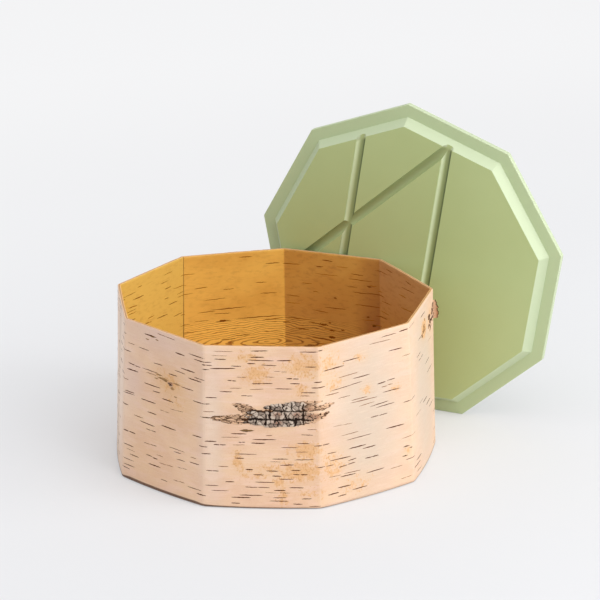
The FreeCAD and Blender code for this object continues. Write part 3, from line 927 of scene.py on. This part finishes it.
def inner_marks():
    chance = random.Random(21)
    slivers = Slivers(depth=2 * PLY, outwards=-1)
    for side, height, length in scatter(chance, INNER_DASHES, BOARD_TOP + 3 * MM, RIM - 3 * MM):
        slivers.add(chance, side, height, length, chance.uniform(0.18, 0.32) * MM, 0.04 * MM,
                    slope=chance.gauss(0, 0.03), dark=chance.uniform(0.4, 0.9), wander=0.12 * MM)
    for side, height, length, half_width in INNER_KNOTS:
        slivers.add(chance, side, height * MM, length * MM, half_width * MM, 0.15 * MM, dark=0.85,
                    wander=0.2 * MM, point=0.7)
    finish = lenticel_finish("inner_marks", colour(118, 64, 8), colour(188, 126, 38))
    slivers.as_piece("inner_marks", finish, "bark_inside")


inner_marks()

# ----------------------------------------------------------------------------------------------------------
# The base board: a sawn and sanded softwood board, glued inside the foot of the bark. Its grain runs across
# the box.

RING_WIDTH, RING_WANDER = 4.2 * MM, 90 * MM  # from one growth ring to the next, and how far a ring strays


def base_board_finish():
    material, start = new_finish("bare_wood")
    place = start.node("TexCoord", output="Object")
    bands = place.stretched(3, 60, 60).noise(1.4, 3, 0.5)
    drift = place.stretched(0.5, 1.6, 1).noise(9, 3, 0.45)
    pores = place.stretched(12, 400, 400).noise(5, 3, 0.6)
    rings = start.math("SINE", (place.axis(1) + drift * RING_WANDER) * (2 * math.pi / RING_WIDTH))
    base = bands.between(0.38, 0.62).pick(colour(226, 192, 145), colour(238, 210, 166))
    base = (rings.between(0.1, 1.0) * 0.5).pick(base, colour(204, 158, 104))
    base = (pores.between(0.5, 0.75) * 0.3).pick(base, colour(190, 148, 100))
    return coat(material, start, {
        "Base Color": base, "Roughness": 0.6 + 0.1 * pores, "Normal": pores.bump(0.1 * MM, 0.5)})


frame["nodes"]["base_board"].data.materials[0] = base_board_finish()

# ----------------------------------------------------------------------------------------------------------
# The lid: one board, milled with a bevelled plug and three round-bottomed grooves, then primed, sanded and
# sprayed in a satin sage green. It stands on edge and leans on a corner of the box.

# How far below the plug's face the paler paint of the flange and the painted light and shade of the grooves begin,
# and where they are full.
FLANGE_PAINT, GROOVE_PAINT = (5.4 * MM, 6.2 * MM), (0.1 * MM, 0.9 * MM)
LIGHT_TILT = 1.05  # how far up the painted light on the grooves comes from, for 1 to the right


def panel_of(mesh):
    """The plug's broad flat face: its outward normal, its middle, and how far from there its edges' middles are."""
    broadest = max((f for f in mesh.polygons if f.normal.y < -0.5), key=lambda f: f.area)
    facing, level = broadest.normal.copy(), broadest.center.dot(broadest.normal)
    back = [f for f in mesh.polygons if f.normal.dot(facing) < -0.999]
    middle = sum((f.center * f.area for f in back), Vector()) / sum(f.area for f in back)
    middle += facing * (level - middle.dot(facing))
    corners = [v.co for v in mesh.vertices if abs(v.co.dot(facing) - level) < 0.05 * MM]
    return facing, middle, max((c - middle).length for c in corners) * math.cos(HALF_TURN)


def lid_finish(mesh):
    """Sage green, painted paler on the flange and the bevel as a painted sheen. In the grooves the sides that face
    up and to the right are painted pale as a painted highlight, and the others and the bottom dark as painted
    shade."""
    material, start = new_finish("sage_paint")
    facing, middle, reach = panel_of(mesh)
    face = middle.dot(facing)
    place = start.node("TexCoord", output="Object")
    normal = start.node("TexCoord", output="Normal")
    level = place.vector_math("DOT_PRODUCT", facing)
    forward = normal.vector_math("DOT_PRODUCT", facing)
    from_middle = place.vector_math("DISTANCE", middle)
    not_back = forward.between(-0.8, -0.3)
    clouds = place.noise(14, 3, 0.5)
    peel = place.noise(1400, 2, 0.5)

    def below_face(begins, full):
        return 1 - level.between(face - full, face - begins)

    base = clouds.between(0.35, 0.65).pick(colour(174, 188, 130), colour(177, 191, 134))
    # The flange and the bevel are painted paler and greyer than the panel, as a painted sheen.
    base = below_face(*FLANGE_PAINT).pick(base, colour(180, 195, 151))
    bevel = (1 - forward).between(0.02, 0.2) * not_back * from_middle.between(reach - 1 * MM, reach)
    base = bevel.pick(base, colour(187, 199, 163))
    up = (Vector((0, 0, 1)) - facing * facing.z).normalized()
    # Painted light and shade in the grooves: sides facing up and to the right get a painted highlight, the other
    # sides and the bottom get painted shade.
    facing_the_light = normal.vector_math("DOT_PRODUCT", up * LIGHT_TILT + up.cross(facing))
    groove = below_face(*GROOVE_PAINT) * not_back * (1 - from_middle.between(reach - 2 * MM, reach))
    base = (groove * facing_the_light.between(0.08, 0.62)).pick(base, colour(216, 228, 184))
    groove_shade = 1 - 0.4 * facing_the_light.between(-0.1, 0.28) - 0.6 * facing_the_light.between(-0.55, -0.12)
    base = (groove * groove_shade).pick(base, colour(92, 107, 66))
    return coat(material, start, {
        "Base Color": base, "Roughness": 0.4 + 0.08 * peel, "Normal": peel.bump(0.05 * MM, 0.4)})


lid = frame["nodes"]["lid"].data
lid.materials[0] = lid_finish(lid)
